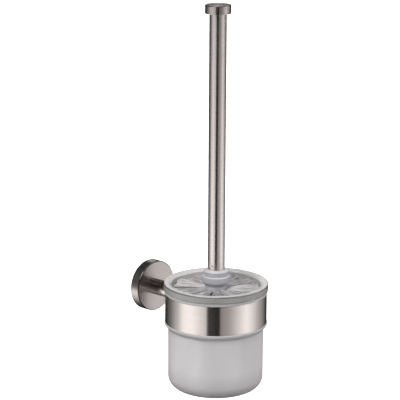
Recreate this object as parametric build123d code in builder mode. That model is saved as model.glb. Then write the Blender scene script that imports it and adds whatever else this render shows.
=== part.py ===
"""Wall-mounted toilet brush holder: a round wall plate and post carry a steel band,
a frosted glass cup hangs in the band by its flange, and a long-handled brush stands in the cup.

Millimetres. The origin is on the wall, at the centre of the wall plate. +Z is up, the wall is
the plane y = 0, and the holder reaches out from it along -Y."""

import os
from math import cos, radians, sin

from build123d import *

os.makedirs("parts", exist_ok=True)

# ---- driving dimensions -------------------------------------------------------------------

wall_to_axis = 95.0  # wall to the centre line of the cup and brush
running_gap = 0.05  # radial gap of screws in their holes and of pieces that plug together

rosette_radius = 26.0
rosette_depth = 11.0
rosette_wall = 2.7
rosette_face = 3.0
post_radius = 9.0

bracket_radius = rosette_radius - rosette_wall - 0.3
bracket_thickness = 5.5
wall_hole_spacing = 31.0
wall_hole_radius = 2.5

band_radius = 50.9
band_wall = 1.4
band_height = 30.0
band_top = 11.5
band_bottom = band_top - band_height

rim_top = 21.9  # top of the cup's flange
cup_height = 109.6
flange_radius = 52.2
flange_height = 7.4
cup_radius_top = 47.9
cup_radius_base = 47.8
mouth_radius = 44.2
floor_thickness = 5.0
wall_thickness = 3.6

tube_radius = 8.5
tube_wall = 1.0
tube_bottom = rim_top + 13.4
tube_top = rim_top + 269.5
knob_radius = 12.75
knob_height = 8.5

collar_radius = 12.6
collar_joint = rim_top + 7.4  # where the collar meets the brush head
head_collar_radius = 14.1
core_radius = 11.0

tuft_root_radius = 1.4
tuft_tip_width = 8.6  # half the fan's width at its tip, level round the core
tuft_tip_height = 4.1  # half its height there
tuft_seat = 4.0  # how deep a tuft is set into the core
brush_radius = 43.0
rows = 8
tufts_per_row = 12
first_row = rim_top - 6.9
last_row = rim_top - 68.9

# ---- shared planes and axes -----------------------------------------------------------------

cup_plane = Plane.XZ.offset(wall_to_axis)  # sketch x is the radius, sketch y is the height
cup_axis = Axis((0, -wall_to_axis, 0), (0, 0, 1))
wall_axis = Axis.Y
cup_centre = Vector(0, -wall_to_axis, 0)


def save(part, name):
    """Labels one finished piece and writes its STEP file."""
    part.label = name
    export_step(part, f"parts/{name}.step")


def socket_screw(shank_radius, length, head_radius, head_height, socket_radius):
    """A cylinder-head socket screw: its head's underside is at z = 0 and its shank runs down."""
    with BuildPart() as screw:
        Cylinder(head_radius, head_height, align=(Align.CENTER, Align.CENTER, Align.MIN))
        chamfer(screw.edges().sort_by(Axis.Z)[-1], 0.4)
        with BuildSketch(Plane.XY.offset(head_height)):
            RegularPolygon(socket_radius, 6)
        extrude(amount=-0.65 * head_height, mode=Mode.SUBTRACT)
        Cylinder(shank_radius, length, align=(Align.CENTER, Align.CENTER, Align.MAX))
        chamfer(screw.edges().sort_by(Axis.Z)[0], 0.5)
    return screw.part


def countersunk_screw(shank_radius, length, head_radius, socket_radius):
    """A countersunk screw: the top of its head is at z = 0 and its whole length lies below."""
    head_depth = head_radius - shank_radius
    with BuildPart() as screw:
        with BuildSketch(Plane.XZ):
            with BuildLine():
                Polyline(
                    (0, 0),
                    (head_radius, 0),
                    (shank_radius, -head_depth),
                    (shank_radius, 0.4 - length),
                    (shank_radius - 0.4, -length),
                    (0, -length),
                    close=True,
                )
            make_face()
        revolve(axis=Axis.Z)
        with BuildSketch():
            RegularPolygon(socket_radius, 6)
        extrude(amount=-0.7 * head_depth, mode=Mode.SUBTRACT)
    return screw.part


# ---- wall bracket ----------------------------------------------------------------------------

screw_pocket_radius = 7.5  # leaves room for the post screw's head
screw_pocket_depth = 2.0
grub_radius = 2.0
grub_from_wall = 3.8
notch_height = 20.2  # the grub screw bears on this flat
notch_depth = bracket_thickness - grub_from_wall + grub_radius + 0.2

with BuildPart() as wall_bracket:
    with BuildSketch(Plane.XZ):
        Circle(bracket_radius)
    extrude(amount=bracket_thickness)
    front_rim = wall_bracket.edges().filter_by(GeomType.CIRCLE).sort_by(Axis.Y).first
    chamfer(front_rim, 0.6)
    front = Plane.XZ.offset(bracket_thickness)
    with Locations(front.location):
        Hole(screw_pocket_radius, depth=screw_pocket_depth)
    with Locations(
        front.location * Pos(-wall_hole_spacing / 2, 0, 0),
        front.location * Pos(wall_hole_spacing / 2, 0, 0),
    ):
        CounterSinkHole(wall_hole_radius, 4.7, depth=bracket_thickness)
    with Locations((0, notch_depth / 2 - bracket_thickness, -notch_height - 2)):
        Box(9, notch_depth, 4, mode=Mode.SUBTRACT)
save(wall_bracket.part, "wall_bracket")

# ---- rosette, the round cover plate ------------------------------------------------------------

post_screw_radius = 3.0

with BuildPart() as rosette:
    with BuildSketch(Plane.XY):
        with BuildLine():
            FilletPolyline(
                (post_screw_radius + 0.3, -rosette_depth),
                (rosette_radius, -rosette_depth),
                (rosette_radius, 0),
                (rosette_radius - rosette_wall, 0),
                (rosette_radius - rosette_wall, rosette_face - rosette_depth),
                (post_screw_radius + 0.3, rosette_face - rosette_depth),
                radius=[0.7, 0.3, 0.3, 0.8],
            )
            Line(
                (post_screw_radius + 0.3, rosette_face - rosette_depth),
                (post_screw_radius + 0.3, -rosette_depth),
            )
        make_face()
    revolve(axis=wall_axis)
    with Locations(Location((0, -grub_from_wall, -rosette_radius), (180, 0, 0))):
        Hole(grub_radius + running_gap, depth=2 * rosette_wall)
save(rosette.part, "rosette")

with BuildPart() as rosette_grub_screw:
    with BuildSketch(Plane.XY.offset(0.3 - rosette_radius)):
        with Locations((0, -grub_from_wall)):
            Circle(grub_radius)
    extrude(amount=rosette_radius - 0.3 - notch_height)
    chamfer(rosette_grub_screw.edges().sort_by(Axis.Z)[-1], 0.5)
    with BuildSketch(Plane.XY.offset(0.3 - rosette_radius)):
        with Locations((0, -grub_from_wall)):
            RegularPolygon(1.15, 6)
    extrude(amount=2.6, mode=Mode.SUBTRACT)
save(rosette_grub_screw.part, "rosette_grub_screw")

# ---- post and its two screws ---------------------------------------------------------------------

post_screw_reach = 13.0
band_screw_radius = 2.5
band_screw_head = 5.0
band_screw_length = 15.0
band_inside = band_radius - band_wall - wall_to_axis  # y of the band's inner wall at the post

with BuildPart() as post:
    with BuildSketch(Plane.XZ.offset(rosette_depth)):
        Circle(post_radius)
    extrude(amount=wall_to_axis - rosette_depth - 0.8 * band_radius)
    with BuildSketch(Plane.XY.offset(-2 * post_radius)):
        with Locations((0, -wall_to_axis)):
            Circle(band_radius)
    extrude(amount=4 * post_radius, mode=Mode.SUBTRACT)
    with Locations(Location((0, -rosette_depth, 0), (-90, 0, 0))):
        Hole(post_screw_radius + running_gap, depth=post_screw_reach)
    with Locations(Location((0, band_inside, 0), (90, 0, 0))):
        CounterSinkHole(
            band_screw_radius + running_gap,
            band_screw_head + running_gap,
            depth=band_screw_length + 1,
        )
save(post.part, "post")

screw_seat = Plane(origin=(0, rosette_face - rosette_depth, 0), z_dir=(0, 1, 0))
post_screw = screw_seat.location * socket_screw(
    post_screw_radius, post_screw_reach + rosette_face - 1, 5.0, 3.4, 2.3
)
save(post_screw, "post_screw")

band_seat = Plane(origin=(0, band_inside, 0), z_dir=(0, -1, 0))
band_screw = band_seat.location * countersunk_screw(
    band_screw_radius, band_screw_length, band_screw_head, 1.8
)
save(band_screw, "band_screw")

# ---- steel band that carries the cup -------------------------------------------------------------

with BuildPart() as holder_band:
    with BuildSketch(cup_plane):
        with Locations((band_radius - band_wall / 2, (band_top + band_bottom) / 2)):
            RectangleRounded(band_wall, band_height, 0.3)
    revolve(axis=cup_axis)
    with Locations(band_seat.location):
        CounterSinkHole(
            band_screw_radius + running_gap,
            band_screw_head + running_gap,
            depth=2 * band_wall,
        )
save(holder_band.part, "holder_band")

# ---- plastic liner that clips into the band --------------------------------------------------------

liner_inside = cup_radius_top + 0.35
liner_outside = band_radius - band_wall - 0.1
lip_radius = 51.5
lip_top = rim_top - flange_height - running_gap
lip_gap = 0.02  # between each lip and the band's edge
lower_lip_height = 2.0
liner_bottom = band_bottom - 5.3
slit_width = 6.0

with BuildPart() as liner_sleeve:
    with BuildSketch(cup_plane) as liner_section:
        with BuildLine():
            Polyline(
                (liner_inside + 0.6, lip_top),
                (lip_radius, lip_top),
                (lip_radius, band_top + lip_gap),
                (liner_outside, band_top + lip_gap),
                (liner_outside, band_bottom - lip_gap),
                (lip_radius, band_bottom - lip_gap),
                (lip_radius, band_bottom - lower_lip_height),
                (liner_inside + 0.7, liner_bottom),
                (liner_inside, liner_bottom),
                (liner_inside, lip_top - 0.6),
                close=True,
            )
        make_face()
        lip_corners = liner_section.vertices().group_by(Axis.X)[-1]
        fillet(lip_corners, 0.5)
    revolve(axis=cup_axis)
    with BuildSketch(Plane.XY.offset(liner_bottom - 1)):
        with Locations((0, band_radius - wall_to_axis)):
            Rectangle(slit_width, 8)
    extrude(amount=lip_top - liner_bottom + 2, mode=Mode.SUBTRACT)
save(liner_sleeve.part, "liner_sleeve")

# ---- frosted glass cup ---------------------------------------------------------------------------

cup_base = rim_top - cup_height
cup_floor = cup_base + floor_thickness

with BuildPart() as glass_cup:
    with BuildSketch(cup_plane):
        with BuildLine():
            section = FilletPolyline(
                (0, cup_base),
                (cup_radius_base, cup_base),
                (cup_radius_top, rim_top - flange_height),
                (flange_radius, rim_top - flange_height),
                (flange_radius, rim_top),
                (mouth_radius + 3.6, rim_top),
                (mouth_radius, rim_top - 1.6),
                (cup_radius_base - wall_thickness, cup_floor),
                (0, cup_floor),
                radius=[13.0, 0.3, 1.0, 1.3, 4.0, 1.4, 10.0],
            )
            Line(section @ 1, section @ 0)
        make_face()
    revolve(axis=cup_axis)
save(glass_cup.part, "glass_cup")

# ---- brush handle: tube, end knob, collar and its screw ----------------------------------------------

plug_radius = tube_radius - tube_wall - running_gap
pin_height = tube_bottom + 4.5
pin_direction = Vector(-sin(radians(80)), -cos(radians(80)), 0)
pin_head = 1.9
pin_shank = 1.1
pin_length = 6.0
pin_plane = Plane(
    origin=cup_centre + pin_direction * tube_radius + Vector(0, 0, pin_height),
    z_dir=pin_direction,
)

with BuildPart() as handle_tube:
    with BuildSketch(Plane.XY.offset(tube_bottom)):
        with Locations((0, -wall_to_axis)):
            Circle(tube_radius)
            Circle(tube_radius - tube_wall, mode=Mode.SUBTRACT)
    extrude(amount=tube_top - tube_bottom)
    lower_rim = handle_tube.edges().group_by(Axis.Z)[0].sort_by(SortBy.LENGTH)[-1]
    upper_mouth = handle_tube.edges().group_by(Axis.Z)[-1].sort_by(SortBy.LENGTH)[0]
    chamfer([lower_rim, upper_mouth], 0.25)
    with Locations(pin_plane.location):
        CounterSinkHole(
            pin_shank + running_gap, pin_head + running_gap, depth=2 * tube_wall
        )
save(handle_tube.part, "handle_tube")

with BuildPart() as handle_knob:
    with BuildSketch(cup_plane):
        with BuildLine():
            knob_section = FilletPolyline(
                (0, tube_top - 14),
                (plug_radius, tube_top - 14),
                (plug_radius, tube_top),
                (knob_radius, tube_top),
                (knob_radius, tube_top + knob_height),
                (0, tube_top + knob_height),
                radius=[1.0, 0.02, 0.5, 0.7],
            )
            Line(knob_section @ 1, knob_section @ 0)
        make_face()
    revolve(axis=cup_axis)
save(handle_knob.part, "handle_knob")

stub_radius = 4.9
stub_bottom = collar_joint - 10.5

with BuildPart() as handle_collar:
    with BuildSketch(cup_plane) as collar_section:
        with BuildLine():
            Polyline(
                (0, stub_bottom),
                (stub_radius - 0.6, stub_bottom),
                (stub_radius, stub_bottom + 0.6),
                (stub_radius, collar_joint),
                (collar_radius, collar_joint),
                (collar_radius, tube_bottom - 0.9),
                (tube_radius + 0.7, tube_bottom),
                (plug_radius, tube_bottom),
                (plug_radius, tube_bottom + 23),
                (plug_radius - 1, tube_bottom + 24),
                (0, tube_bottom + 24),
                close=True,
            )
        make_face()
        shoulder = collar_section.vertices().group_by(Axis.X)[-1].sort_by(Axis.Y)[-1]
        fillet(shoulder, 0.7)
    revolve(axis=cup_axis)
    with Locations(pin_plane.location):
        Hole(pin_shank + running_gap, depth=pin_length + 0.5)
save(handle_collar.part, "handle_collar")

pin_screw = pin_plane.location * countersunk_screw(pin_shank, pin_length, pin_head, 0.75)
save(pin_screw, "collar_screw")

# ---- brush head: moulded core with its tuft holes ------------------------------------------------------


def tuft_places(height, dip, count, turn):
    """Where a ring of tufts leaves the core: dip is the angle below level, height the ring's centre."""
    places = []
    for step in range(count):
        around = radians(turn + 360 * step / count)
        out = Vector(
            cos(radians(dip)) * cos(around), cos(radians(dip)) * sin(around), -sin(radians(dip))
        )
        level = (-sin(around), cos(around), 0)
        start = cup_centre + Vector(0, 0, height) + out * (core_radius - tuft_seat)
        places.append(Plane(origin=start, x_dir=level, z_dir=out).location)
    return places


row_pitch = (first_row - last_row) / (rows - 1)
half_step = 180 / tufts_per_row
tuft_rings = {}  # name: (places, distance of the tips from the ring's centre)
for row in range(rows):
    tuft_rings[f"bristle_row_{row + 1}"] = (
        tuft_places(first_row - row * row_pitch, 0, tufts_per_row, half_step * ((row + 1) % 2)),
        brush_radius,
    )
tuft_rings["bristle_end_ring_outer"] = (
    tuft_places(last_row, 30, tufts_per_row, half_step * ((rows + 1) % 2)),
    brush_radius - 2.5,
)
tuft_rings["bristle_end_ring_inner"] = (tuft_places(last_row, 60, 6, 0), brush_radius - 6)
tuft_rings["bristle_end_tuft"] = (
    tuft_places(last_row, 90, 1, 0),
    last_row - cup_floor - 0.5,
)

with BuildPart() as brush_core:
    with BuildSketch(cup_plane):
        with BuildLine():
            top = Polyline(
                (0, last_row - core_radius),
                (0, stub_bottom - 0.5),
                (stub_radius + running_gap, stub_bottom - 0.5),
                (stub_radius + running_gap, collar_joint),
            )
            side = FilletPolyline(
                top @ 1,
                (head_collar_radius, collar_joint),
                (head_collar_radius, rim_top + 1.0),
                (core_radius, rim_top - 2.5),
                (core_radius, last_row),
                radius=[1.0, 4.0, 1.5],
            )
            CenterArc((0, last_row), core_radius, 270, 90)
        make_face()
    revolve(axis=cup_axis)
    for places, _ in tuft_rings.values():
        with Locations(*places):
            Cylinder(
                tuft_root_radius + running_gap,
                2 * tuft_seat,
                align=(Align.CENTER, Align.CENTER, Align.MIN),
                mode=Mode.SUBTRACT,
            )
save(brush_core.part, "brush_core")

# ---- bristle tufts, one ring to a node --------------------------------------------------------------------

for name, (places, tip_distance) in tuft_rings.items():
    from_centre = core_radius - tuft_seat  # a tuft's root to its ring's centre
    with BuildPart() as tuft:
        with BuildSketch():
            Circle(tuft_root_radius)
        extrude(amount=tuft_seat)
        with BuildSketch(Plane.XY.offset(tuft_seat)):
            Circle(tuft_root_radius)
        with BuildSketch(Plane.XY.offset(tip_distance - from_centre)):
            Ellipse(tuft_tip_width, tuft_tip_height)
        loft()
        with Locations((0, 0, -from_centre)):
            Sphere(tip_distance, mode=Mode.INTERSECT)
    with BuildPart() as ring:
        with Locations(*places):
            add(tuft.part)
    save(ring.part, name)
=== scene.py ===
"""Looks for the wall-mounted toilet brush holder: brushed steel, frosted glass, moulded
plastic and nylon bristles. Metres, in the part's own frame: the wall is the plane y = 0."""

import math
import random

import bmesh
import bpy
from mathutils import Matrix, Vector


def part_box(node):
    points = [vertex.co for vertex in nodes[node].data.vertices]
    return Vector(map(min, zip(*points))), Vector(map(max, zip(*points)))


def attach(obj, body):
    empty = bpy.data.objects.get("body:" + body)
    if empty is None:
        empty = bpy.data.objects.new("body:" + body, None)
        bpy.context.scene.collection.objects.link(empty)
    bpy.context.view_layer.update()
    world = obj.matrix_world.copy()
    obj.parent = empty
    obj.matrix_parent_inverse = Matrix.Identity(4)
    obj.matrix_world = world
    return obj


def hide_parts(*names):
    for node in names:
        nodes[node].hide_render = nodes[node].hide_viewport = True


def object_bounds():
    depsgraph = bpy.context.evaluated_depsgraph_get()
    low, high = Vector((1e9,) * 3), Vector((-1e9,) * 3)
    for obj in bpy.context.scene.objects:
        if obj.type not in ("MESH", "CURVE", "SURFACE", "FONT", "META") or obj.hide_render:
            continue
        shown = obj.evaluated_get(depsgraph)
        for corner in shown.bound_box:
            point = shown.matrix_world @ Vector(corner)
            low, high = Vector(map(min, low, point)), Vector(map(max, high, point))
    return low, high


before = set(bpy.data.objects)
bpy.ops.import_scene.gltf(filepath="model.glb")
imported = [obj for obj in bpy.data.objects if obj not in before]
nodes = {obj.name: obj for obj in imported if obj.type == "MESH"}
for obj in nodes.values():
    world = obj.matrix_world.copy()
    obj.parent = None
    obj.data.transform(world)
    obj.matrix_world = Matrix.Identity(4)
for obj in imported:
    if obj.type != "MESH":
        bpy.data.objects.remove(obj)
cad_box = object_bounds()

# ---- places read from the frame --------------------------------------------------------------

cup_low, cup_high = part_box("glass_cup")
axis_x = (cup_low.x + cup_high.x) / 2
axis_y = (cup_low.y + cup_high.y) / 2
rim_top = cup_high.z
flange_radius = (cup_high.x - cup_low.x) / 2
cup_height = cup_high.z - cup_low.z
row_centres = {}
for name in nodes:
    if name.startswith("bristle_row_"):
        low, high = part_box(name)
        row_centres[name] = (low.z + high.z) / 2
last_row = min(row_centres.values())

# ---- shader expressions ----------------------------------------------------------------------


class Signal:
    """A shader socket in an expression. Each operator adds the Math node it stands for."""

    def __init__(self, recipe, socket):
        self.recipe, self.socket = recipe, socket

    def math(self, operation, *operands):
        operands = dict(enumerate(operands))
        return self.recipe.node("ShaderNodeMath", {"operation": operation}, operands)["Value"]

    def __add__(self, other):
        return self.math("ADD", self, other)

    def __radd__(self, other):
        return self.math("ADD", other, self)

    def __sub__(self, other):
        return self.math("SUBTRACT", self, other)

    def __mul__(self, other):
        return self.math("MULTIPLY", self, other)

    def __rmul__(self, other):
        return self.math("MULTIPLY", other, self)

    def __truediv__(self, other):
        return self.math("DIVIDE", self, other)

    def __pow__(self, other):
        return self.math("POWER", self, other)

    def between(self, low, high):
        """0 at low, 1 at high, straight between them and held beyond them."""
        held = {"clamp": True}
        sockets = {"Value": self, "From Min": low, "From Max": high}
        return self.recipe.node("ShaderNodeMapRange", held, sockets)["Result"]


class Recipe:
    """The node tree of a finish or of the studio light."""

    def __init__(self, tree):
        self.tree = tree
        tree.nodes.clear()

    def node(self, kind, settings, sockets):
        """Adds a node, sets it up, fills or links its sockets and returns its outputs by name."""
        made = self.tree.nodes.new(kind)
        for name, value in settings.items():
            if name == "stops":
                self.fill_ramp(made.color_ramp, value)
            else:
                setattr(made, name, value)
        for name, value in sockets.items():
            if isinstance(name, int):
                socket = made.inputs[name]
            else:
                socket = next(s for s in made.inputs if s.name == name and s.enabled)
            if isinstance(value, Signal):
                self.tree.links.new(value.socket, socket)
            else:
                socket.default_value = value
        return {s.name: Signal(self, s) for s in made.outputs if s.enabled}

    @staticmethod
    def fill_ramp(ramp, stops):
        """Sets a colour ramp to grey stops, each given as its place from 0 to 1 and its value."""
        while len(ramp.elements) < len(stops):
            ramp.elements.new(1.0)
        for element, (place, value) in zip(ramp.elements, stops):
            element.position = place
            element.color = (value, value, value, 1.0)

    def place(self, centre=(0, 0, 0)):
        """The point on the surface, in metres from centre, as three values."""
        spot = self.node("ShaderNodeTexCoord", {}, {})["Object"]
        shift = {"Vector": spot, "Location": [-c for c in centre]}
        moved = self.node("ShaderNodeMapping", {}, shift)["Vector"]
        parts = self.node("ShaderNodeSeparateXYZ", {}, {"Vector": moved})
        return parts["X"], parts["Y"], parts["Z"]

    def vector(self, x, y, z):
        return self.node("ShaderNodeCombineXYZ", {}, {"X": x, "Y": y, "Z": z})["Vector"]

    def noise(self, vector, scale, detail=2.0, roughness=0.5):
        sockets = {"Vector": vector, "Scale": scale, "Detail": detail, "Roughness": roughness}
        return self.node("ShaderNodeTexNoise", {}, sockets)["Fac"]

    def mix(self, factor, first, second):
        sockets = {"Factor": factor, "A": first, "B": second}
        return self.node("ShaderNodeMix", {"data_type": "RGBA"}, sockets)["Result"]

    def bump(self, height, distance):
        sockets = {"Height": height, "Distance": distance, "Strength": 1.0}
        return self.node("ShaderNodeBump", {}, sockets)["Normal"]

    def surface(self, sockets):
        shader = self.node("ShaderNodeBsdfPrincipled", {}, sockets)["BSDF"]
        self.node("ShaderNodeOutputMaterial", {}, {"Surface": shader})


def finish(name):
    """A new material and the recipe that fills its node tree."""
    material = bpy.data.materials.new(name)
    material.use_nodes = True
    return material, Recipe(material.node_tree)


# ---- finishes --------------------------------------------------------------------------------

cup_centre = (axis_x, axis_y, 0)
# painted shade colour for rounded edges, damping their highlight
painted_edge_shade = (0.10, 0.095, 0.09, 1)
# painted shade colour for the post's upper side
painted_top_shade = (0.085, 0.075, 0.07, 1)


def brushed_steel(
    name, centre, along, tint=1.0, anisotropic=0.0, scratch=0.000014, roughness=0.15,
    corner=None, shade_painted_above=None
):
    """Satin steel turned on an axis through centre: fine lines run round the sides and faces.
    A corner, as its radius, its place along the axis and its width, gets painted shade on its
    rounded edge.
    Above the height given as the last argument, the metal has painted shade too."""
    material, r = finish(name)
    x, y, z = r.place(centre)
    if along == "Y":
        across, length, other = (x * x + z * z) ** 0.5, -1.0 * y, z
    else:
        across, length, other = (x * x + y * y) ** 0.5, z, y
    profile = across + length
    drift = r.noise(r.vector(x * 30, y * 30, z * 30), 1.0, 3.0)
    lines = r.noise(r.vector(x * 40, profile * 3000, other * 40), 1.0, 2.0, 0.6)
    coarse = r.noise(r.vector(x * 18, profile * 700, other * 18), 1.0, 2.0, 0.5)
    light = (0.80 * tint, 0.735 * tint, 0.71 * tint, 1)
    deep = (0.73 * tint, 0.665 * tint, 0.64 * tint, 1)
    colour = r.mix((coarse * 0.5 + drift * 0.5).between(0.3, 0.7), deep, light)
    if corner:
        edge, end, width = corner
        # painted shade on the rounded edge, in place of its highlight
        rounded_edge_shade_mask = across.between(edge - width - 0.0003, edge - width)
        rounded_edge_shade_mask = rounded_edge_shade_mask * length.between(end - width - 0.0004, end - width - 0.0001)
        colour = r.mix(rounded_edge_shade_mask, colour, painted_edge_shade)
    if shade_painted_above is not None:
        # painted shade: above this height the metal is darkened
        top_shade_mask = z.between(shade_painted_above, shade_painted_above + 0.0025) * 0.78
        colour = r.mix(top_shade_mask, colour, painted_top_shade)
    r.surface({
        "Base Color": colour,
        "Metallic": 1.0,
        "Roughness": roughness + 0.05 * lines + 0.03 * drift,
        "Anisotropic": anisotropic,
        "Anisotropic Rotation": 0.25,
        "Normal": r.bump(lines, scratch),
    })
    return material


def frosted_glass():
    """Etched glass with painted shade darkening it near its base. The flange is smoother and
    clearer on top, and its ground side has painted shade lines round the top edge and round the
    bottom edge."""
    flange_base = -0.0075
    material, r = finish("frosted_glass")
    x, y, z = r.place((axis_x, axis_y, rim_top))
    spot = r.vector(x, y, z)
    out = (x * x + y * y) ** 0.5
    grain = r.noise(spot, 2600, 2.0, 0.6)
    veil = r.noise(r.vector(x * 45, y * 45, z * 8), 1.0, 3.0, 0.6)
    body = r.mix(veil.between(0.3, 0.7), (0.85, 0.83, 0.85, 1), (0.94, 0.92, 0.94, 1))
    # painted shade: the body darkens towards the base
    base_shade_mask = (z + cup_height).between(0.027, 0.002) * 0.75
    base_shaded_body = r.mix(base_shade_mask, body, (0.50, 0.485, 0.495, 1))
    etched = r.node("ShaderNodeBsdfPrincipled", {}, {
        "Base Color": base_shaded_body,
        "Roughness": 0.5 + 0.15 * grain,
        "IOR": 1.5,
        "Transmission Weight": 0.35,
        "Normal": r.bump(grain, 0.00001),
    })["BSDF"]
    side = out.between(flange_radius - 0.0010, flange_radius - 0.0007)
    # painted shade: dark lines round the flange side's top edge and bottom edge
    top_edge_shade_mask = z.between(-0.0019, -0.0015) * z.between(-0.0003, -0.0008)
    bottom_edge_shade_mask = z.between(-0.0068, -0.0071)
    clear = r.node("ShaderNodeBsdfPrincipled", {}, {
        "Base Color": r.mix(veil.between(0.3, 0.7), (0.88, 0.87, 0.865, 1), (0.96, 0.95, 0.945, 1)),
        "Roughness": 0.14 + 0.1 * grain,
        "IOR": 1.5,
        "Transmission Weight": 0.5,
        "Normal": r.bump(grain, 0.000004),
    })["BSDF"]
    ground = r.mix(veil.between(0.3, 0.7), (0.33, 0.32, 0.32, 1), (0.41, 0.40, 0.40, 1))
    shade_lined_ground = r.mix(top_edge_shade_mask, ground, (0.16, 0.155, 0.15, 1))
    edge = r.node("ShaderNodeBsdfPrincipled", {}, {
        "Base Color": r.mix(bottom_edge_shade_mask, shade_lined_ground, (0.25, 0.24, 0.24, 1)),
        "Roughness": 0.16 + 0.1 * grain,
        "IOR": 1.5,
        "Transmission Weight": 0.15,
        "Normal": r.bump(grain, 0.000004),
    })["BSDF"]
    flange = r.node("ShaderNodeMixShader", {}, {0: side, 1: clear, 2: edge})["Shader"]
    on_flange = z.between(flange_base - 0.0003, flange_base + 0.0003)
    whole = r.node("ShaderNodeMixShader", {}, {0: on_flange, 1: etched, 2: flange})["Shader"]
    r.node("ShaderNodeOutputMaterial", {}, {"Surface": whole})
    return material


def liner_plastic():
    """Milky plastic of the sleeve between the holder's ring and the glass."""
    material, r = finish("liner_plastic")
    x, y, z = r.place(cup_centre)
    spot = r.vector(x, y, z)
    cloud = r.noise(spot, 60, 2.0)
    colour = r.mix(cloud.between(0.3, 0.7), (0.66, 0.655, 0.67, 1), (0.73, 0.725, 0.74, 1))
    r.surface({
        "Base Color": colour,
        "Roughness": 0.30 + 0.15 * cloud,
        "IOR": 1.49,
        "Transmission Weight": 0.3,
        "Normal": r.bump(r.noise(spot, 1500), 0.000006),
    })
    return material


def white_plastic():
    """Satin white plastic of the handle's collar and the brush core."""
    material, r = finish("white_plastic")
    x, y, z = r.place(cup_centre)
    spot = r.vector(x, y, z)
    cloud = r.noise(spot, 80, 2.0)
    colour = r.mix(cloud.between(0.3, 0.7), (0.47, 0.47, 0.495, 1), (0.53, 0.53, 0.555, 1))
    r.surface({
        "Base Color": colour,
        "Roughness": 0.38 + 0.12 * cloud,
        "Subsurface Weight": 0.3,
        "Subsurface Scale": 0.002,
        "Subsurface Radius": (1.0, 1.0, 1.0),
        "Normal": r.bump(r.noise(spot, 1800), 0.000008),
    })
    return material


def nylon():
    """Milky nylon whose filaments differ a little in shade from one to the next; near the core they
    are painted lighter, painted light against the shade between the rows.
    """
    material, r = finish("nylon_bristle")
    x, y, z = r.place(cup_centre)
    spot = r.vector(x, y, z)
    out = (x * x + y * y) ** 0.5 + 0.0001
    strand = r.noise(r.vector(x / out, y / out, z * 60), 26, 2.0, 0.6)
    colour = r.mix(strand.between(0.35, 0.65), (0.26, 0.245, 0.25, 1), (0.76, 0.74, 0.75, 1))
    # painted light: filaments lighten towards the core
    root_light_mask = out.between(0.024, 0.012) * 0.6
    colour = r.mix(root_light_mask, colour, (0.66, 0.66, 0.69, 1))
    r.surface({
        "Base Color": colour,
        "Roughness": 0.35 + 0.2 * strand,
        "Transmission Weight": 0.15,
        "IOR": 1.53,
        "Normal": r.bump(r.noise(spot, 2400), 0.000004),
    })
    return material


def screw_steel():
    """Plain bright steel with a grainy skin."""
    material, r = finish("screw_steel")
    x, y, z = r.place(cup_centre)
    spot = r.vector(x, y, z)
    patch = r.noise(spot, 700, 3.0)
    colour = r.mix(patch.between(0.3, 0.7), (0.78, 0.76, 0.74, 1), (0.96, 0.94, 0.92, 1))
    r.surface({
        "Base Color": colour,
        "Metallic": 1.0,
        "Roughness": 0.45 + 0.2 * patch,
        "Normal": r.bump(r.noise(spot, 4000), 0.000005),
    })
    return material


def grub_screw_steel():
    """The end of the collar's screw: a bright disc, the steel's colour raised into a painted
    highlight, with its socket as painted shade. The screw lies level and points straight out from
    the tube's axis."""
    material, r = finish("grub_screw_steel")
    low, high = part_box("collar_screw")
    centre = (low + high) / 2
    facing = Vector((centre.x - axis_x, centre.y - axis_y, 0)).normalized()
    x, y, z = r.place(centre)
    aside = x * facing.y - y * facing.x
    out = (aside * aside + z * z) ** 0.5
    radius = (high.z - low.z) / 2
    # painted shade: the socket is a near-black disc
    socket = out.between(radius * 0.5, radius * 0.36)
    patch = r.noise(r.vector(x, y, z), 900, 2.0)
    # partly the steel's own colour, partly a painted highlight: the disc is made near white
    steel_and_highlight = r.mix(patch.between(0.3, 0.7), (0.86, 0.84, 0.82, 1), (0.96, 0.94, 0.92, 1))
    r.surface({
        "Base Color": r.mix(socket, steel_and_highlight, (0.02, 0.02, 0.02, 1)),
        "Metallic": 0.3,
        "Roughness": 0.45 + 0.1 * patch,
        "Normal": r.bump(patch, 0.000005),
    })
    return material


upright_steel = brushed_steel("upright_steel", cup_centre, "Z", anisotropic=0.9)
knob_low, knob_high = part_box("handle_knob")
# tint 0.9 is painted shade: the knob is the tube's steel, darkened
knob_steel = brushed_steel(
    "knob_steel", cup_centre, "Z", tint=0.9, anisotropic=0.9,
    corner=((knob_high.x - knob_low.x) / 2, knob_high.z, 0.0004)
)
plate_low, plate_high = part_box("rosette")
# tint 0.74 is painted shade: the plate is the band's steel, darkened
plate_steel = brushed_steel(
    "plate_steel", (0, 0, 0), "Y", tint=0.74, scratch=0.000024, roughness=0.18,
    corner=(plate_high.x, -plate_low.y, 0.0008)
)
# the post's upper side gets painted shade above 1.2 mm
post_steel = brushed_steel(
    "post_steel", (0, 0, 0), "Y", scratch=0.000008, shade_painted_above=0.0012
)
bracket_steel = brushed_steel("bracket_steel", (0, 0, 0), "Y", tint=0.85)
screws = screw_steel()
moulding = white_plastic()
bristle = nylon()

node_finish = {
    "wall_bracket": bracket_steel,
    "rosette": plate_steel,
    "post": post_steel,
    "rosette_grub_screw": screws,
    "post_screw": screws,
    "band_screw": screws,
    "collar_screw": grub_screw_steel(),
    "holder_band": upright_steel,
    "handle_tube": upright_steel,
    "handle_knob": knob_steel,
    "liner_sleeve": liner_plastic(),
    "glass_cup": frosted_glass(),
    "handle_collar": moulding,
    "brush_core": moulding,
}
for name, material in node_finish.items():
    for slot in nodes[name].material_slots:
        slot.link = "DATA"
        slot.material = material

# ---- bristles: separate filaments that fan out of each hole ----------------------------------

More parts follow.
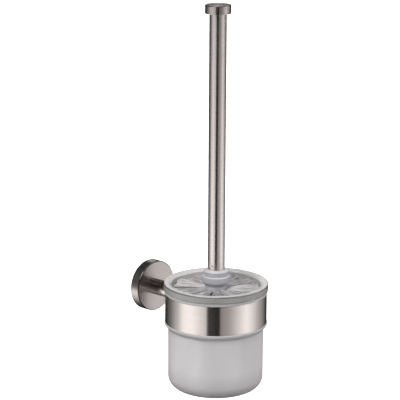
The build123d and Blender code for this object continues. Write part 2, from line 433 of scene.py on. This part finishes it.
root_radius = 0.010
root_spread = 0.00125
filaments_per_tuft = 90
filament_radius = 0.00024
fan_width = 0.0092
fan_height = 0.0036
shortest = 0.94
tufts_per_ring = 12
tufts_in_inner_ring = 6
row_reach = 0.0428
outer_ring_reach, outer_ring_dip = 0.0403, math.radians(30)
inner_ring_reach, inner_ring_dip = 0.0368, math.radians(60)
straight_down = math.radians(90)


def add_filament(bm, points, radius):
    """One three-sided filament along points, closed at its tip."""
    heading = (points[-1] - points[0]).normalized()
    turn = heading.to_track_quat("Z", "Y").to_matrix().to_4x4()
    start = Matrix.Translation(points[0]) @ turn
    ring = bmesh.ops.create_circle(bm, segments=3, radius=radius, matrix=start)["verts"]
    edges = list({e for v in ring for e in v.link_edges})
    for before, after in zip(points, points[1:]):
        grown = bmesh.ops.extrude_edge_only(bm, edges=edges)["geom"]
        ring = [g for g in grown if isinstance(g, bmesh.types.BMVert)]
        edges = [g for g in grown if isinstance(g, bmesh.types.BMEdge)
                 and all(v in ring for v in g.verts)]
        bmesh.ops.translate(bm, verts=ring, vec=after - before)
    bmesh.ops.contextual_create(bm, geom=edges)


def tuft_mesh(dice, centre, around, dip, reach):
    """The filaments of one tuft, from its hole in the core to a fan at its tips."""
    bm = bmesh.new()
    out = Vector((
        math.cos(dip) * math.cos(around), math.cos(dip) * math.sin(around), -math.sin(dip)
    ))
    level = Vector((-math.sin(around), math.cos(around), 0))
    up = out.cross(level)
    for _ in range(filaments_per_tuft):
        angle = dice.uniform(0, math.tau)
        spread = math.sqrt(dice.random())
        u, v = spread * math.cos(angle), spread * math.sin(angle)
        root = centre + out * root_radius + (level * u + up * v) * root_spread
        aim = out * reach + level * u * fan_width + up * v * fan_height
        tip = centre + aim.normalized() * reach * dice.uniform(shortest, 1.0)
        bend = up * dice.uniform(-0.0007, 0.0005) + level * dice.uniform(-0.0009, 0.0009)
        middle = root.lerp(tip, 0.5) + bend
        add_filament(bm, [root, middle, tip], filament_radius)
    mesh = bpy.data.meshes.new("tuft")
    bm.to_mesh(mesh)
    bm.free()
    return mesh


def bristle_piece(name, seed, tufts, centre, dip, reach, turn):
    """A ring of tufts about centre, in place of the node of that name."""
    dice = random.Random(seed)
    ring = bmesh.new()
    for step in range(tufts):
        around = turn + math.tau * step / tufts
        tuft = tuft_mesh(dice, centre, around, dip, reach)
        ring.from_mesh(tuft)
        bpy.data.meshes.remove(tuft)
    bmesh.ops.recalc_face_normals(ring, faces=ring.faces)
    mesh = bpy.data.meshes.new(f"{name}_filaments")
    ring.to_mesh(mesh)
    ring.free()
    mesh.materials.append(bristle)
    piece = bpy.data.objects.new(f"{name}_filaments", mesh)
    bpy.context.collection.objects.link(piece)
    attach(piece, "brush")
    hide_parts(name)


half_step = math.pi / tufts_per_ring
for name, height in row_centres.items():
    row = int(name.rsplit("_", 1)[1])
    centre = Vector((axis_x, axis_y, height))
    turn = half_step if row % 2 else 0.0
    bristle_piece(name, 100 + row, tufts_per_ring, centre, 0.0, row_reach, turn)
end_centre = Vector((axis_x, axis_y, last_row))
bristle_piece(
    "bristle_end_ring_outer", 201, tufts_per_ring, end_centre,
    outer_ring_dip, outer_ring_reach, half_step
)
bristle_piece(
    "bristle_end_ring_inner", 202, tufts_in_inner_ring, end_centre,
    inner_ring_dip, inner_ring_reach, 0.0
)
end_tip = last_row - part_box("bristle_end_tuft")[0].z
bristle_piece("bristle_end_tuft", 203, 1, end_centre, straight_down, end_tip, 0.0)

# ---- camera ----------------------------------------------------------------------------------

camera_turn = math.radians(46.6)
camera_dip = 0.25
camera_roll = 0.0055
camera_left = 0.01648
camera_back = 1.8032
camera_raised = 0.5445
level_right = Vector((math.cos(camera_turn), -math.sin(camera_turn), 0))
level_ahead = Vector((math.sin(camera_turn), math.cos(camera_turn), 0))
rim_centre = Vector((axis_x, axis_y, rim_top))
spot = rim_centre - level_right * camera_left - level_ahead * camera_back
spot += Vector((0, 0, camera_raised))
ahead = level_ahead * math.cos(camera_dip) - Vector((0, 0, math.sin(camera_dip)))
flat_up = level_right.cross(ahead)
right = level_right * math.cos(camera_roll) + flat_up * math.sin(camera_roll)
up = right.cross(ahead)
lens = bpy.data.cameras.new("camera")
lens.lens = 169.84
lens.sensor_width = 36.0
lens.clip_end = 50.0
camera = bpy.data.objects.new("camera", lens)
camera.matrix_world = Matrix.Translation(spot) @ Matrix((right, up, -ahead)).transposed().to_4x4()
bpy.context.collection.objects.link(camera)
bpy.context.scene.camera = camera

# ---- floor and studio light ------------------------------------------------------------------

floor_drop = 0.35
floor_reach = 40.0
key_strength = 7.4
fill_strength = 3.4
overhead_strength = 2.6

floor_mesh = bpy.data.meshes.new("floor")
bm = bmesh.new()
bmesh.ops.create_grid(bm, x_segments=1, y_segments=1, size=floor_reach)
bmesh.ops.translate(bm, verts=bm.verts, vec=(0, 0, cad_box[0].z - floor_drop))
bm.to_mesh(floor_mesh)
bm.free()
floor = bpy.data.objects.new("floor", floor_mesh)
bpy.context.collection.objects.link(floor)
pale, r = finish("pale_floor")
paint = r.node("ShaderNodeBsdfPrincipled", {}, {
    "Base Color": (0.9, 0.9, 0.9, 1),
    "Roughness": 0.8,
    "Emission Color": (1, 1, 1, 1),
    "Emission Strength": 0.6,
})["BSDF"]
r.node("ShaderNodeOutputMaterial", {}, {"Surface": paint})
floor_mesh.materials.append(pale)
# the camera alone sees the floor, so it throws no light back on the metal
for hidden_from in ("glossy", "diffuse", "transmission", "shadow"):
    setattr(floor, f"visible_{hidden_from}", False)

world = bpy.data.worlds.new("studio")
bpy.context.scene.world = world
world.use_nodes = True
r = Recipe(world.node_tree)
way = r.node("ShaderNodeTexCoord", {}, {})["Generated"]
parts = r.node("ShaderNodeSeparateXYZ", {}, {"Vector": way})
x, y, z = parts["X"], parts["Y"], parts["Z"]
sideways = x * level_right.x + y * level_right.y
towards = x * -level_ahead.x + y * -level_ahead.y
azimuth = sideways.math("ARCTAN2", sideways, towards) / math.tau + 0.5
height = z * 0.5 + 0.5


def turned(degrees):
    """A ramp position for a bearing: 0 is the side the camera is on, positive is to its right."""
    return degrees / 360 + 0.5


def raised(degrees):
    """A ramp position for an angle above the horizon."""
    return math.sin(math.radians(degrees)) / 2 + 0.5


def glow(stops, place):
    """How bright the studio is at a place, through a ramp of stops."""
    return r.node("ShaderNodeValToRGB", {"stops": stops}, {"Fac": place})["Color"]


left_panel = glow([
    (turned(-180), 0.01), (turned(-150), 0.03), (turned(-124), 0.3), (turned(-99), 0.92),
    (turned(-80), 1.6), (turned(-60), 1.5), (turned(-41), 1.15), (turned(-22), 0.8),
    (turned(-19.5), 0.01), (turned(0), 0.01),
], azimuth)
right_panel = glow([
    (turned(0), 0.01), (turned(8), 0.01), (turned(11), 0.38), (turned(30), 0.54),
    (turned(55), 1.02), (turned(74), 1.36), (turned(90), 1.04), (turned(110), 0.58),
    (turned(130), 0.32), (turned(149), 0.05), (turned(180), 0.01),
], azimuth)
left_slope = 0.05 * azimuth.between(turned(-50), turned(-95))
left_height = glow([
    (0.0, 0.06), (raised(-65), 0.12), (raised(-50), 0.5), (raised(-38), 0.95),
    (raised(-20), 1.08), (raised(-16), 0.93), (raised(-12.5), 0.78), (raised(-9.5), 0.47),
    (raised(-7.5), 0.27), (raised(-3), 0.18), (raised(10), 0.08), (1.0, 0.04),
], height + left_slope)
right_height = glow([
    (0.0, 0.06), (raised(-65), 0.12), (raised(-50), 0.5), (raised(-38), 0.95),
    (raised(-20), 1.05), (raised(-16), 0.95), (raised(-12.5), 0.66), (raised(-9.5), 0.31),
    (raised(-7.5), 0.24), (raised(-3), 0.16), (raised(10), 0.08), (1.0, 0.04),
], height)
backdrop_side = glow([
    (0.0, 1.0), (turned(-165), 1.0), (turned(-150), 0.0), (turned(150), 0.0),
    (turned(165), 1.0), (1.0, 1.0),
], azimuth)
backdrop_height = glow([
    (0.0, 0.0), (raised(-2), 0.0), (raised(9), 0.1), (raised(14), 0.6), (raised(24), 0.6),
    (raised(34), 0.0),
    (1.0, 0.0),
], height)
key_side = glow([
    (turned(-72), 0.0), (turned(-55), 1.0), (turned(-12), 1.0), (turned(2), 0.0),
], azimuth)
key_height = glow([
    (raised(28), 0.0), (raised(36), 1.0), (raised(60), 1.0), (raised(68), 0.0),
], height)
fill_side = glow([
    (turned(45), 0.0), (turned(70), 1.0), (turned(105), 1.0), (turned(130), 0.0),
], azimuth)
fill_height = glow([
    (raised(3), 0.0), (raised(12), 1.0), (raised(30), 1.0), (raised(40), 0.0),
], height)
overhead = glow([
    (raised(62), 0.0), (raised(68), overhead_strength), (1.0, overhead_strength),
], height)
# ramps come as colours: each is turned into a value by the maths that joins them
strength = (left_panel * left_height + right_panel * right_height
            + backdrop_side * backdrop_height + key_strength * key_side * key_height
            + fill_strength * fill_side * fill_height + overhead)
studio = r.node("ShaderNodeBackground", {}, {"Color": (1, 0.99, 0.985, 1), "Strength": strength})
blank = r.node("ShaderNodeBackground", {}, {"Color": (1, 1, 1, 1), "Strength": 1.0})
seen = r.node("ShaderNodeLightPath", {}, {})["Is Camera Ray"]
shown = r.node("ShaderNodeMixShader", {}, {
    0: seen, 1: studio["Background"], 2: blank["Background"],
})["Shader"]
r.node("ShaderNodeOutputWorld", {}, {"Surface": shown})

bpy.context.scene.view_settings.view_transform = "Standard"
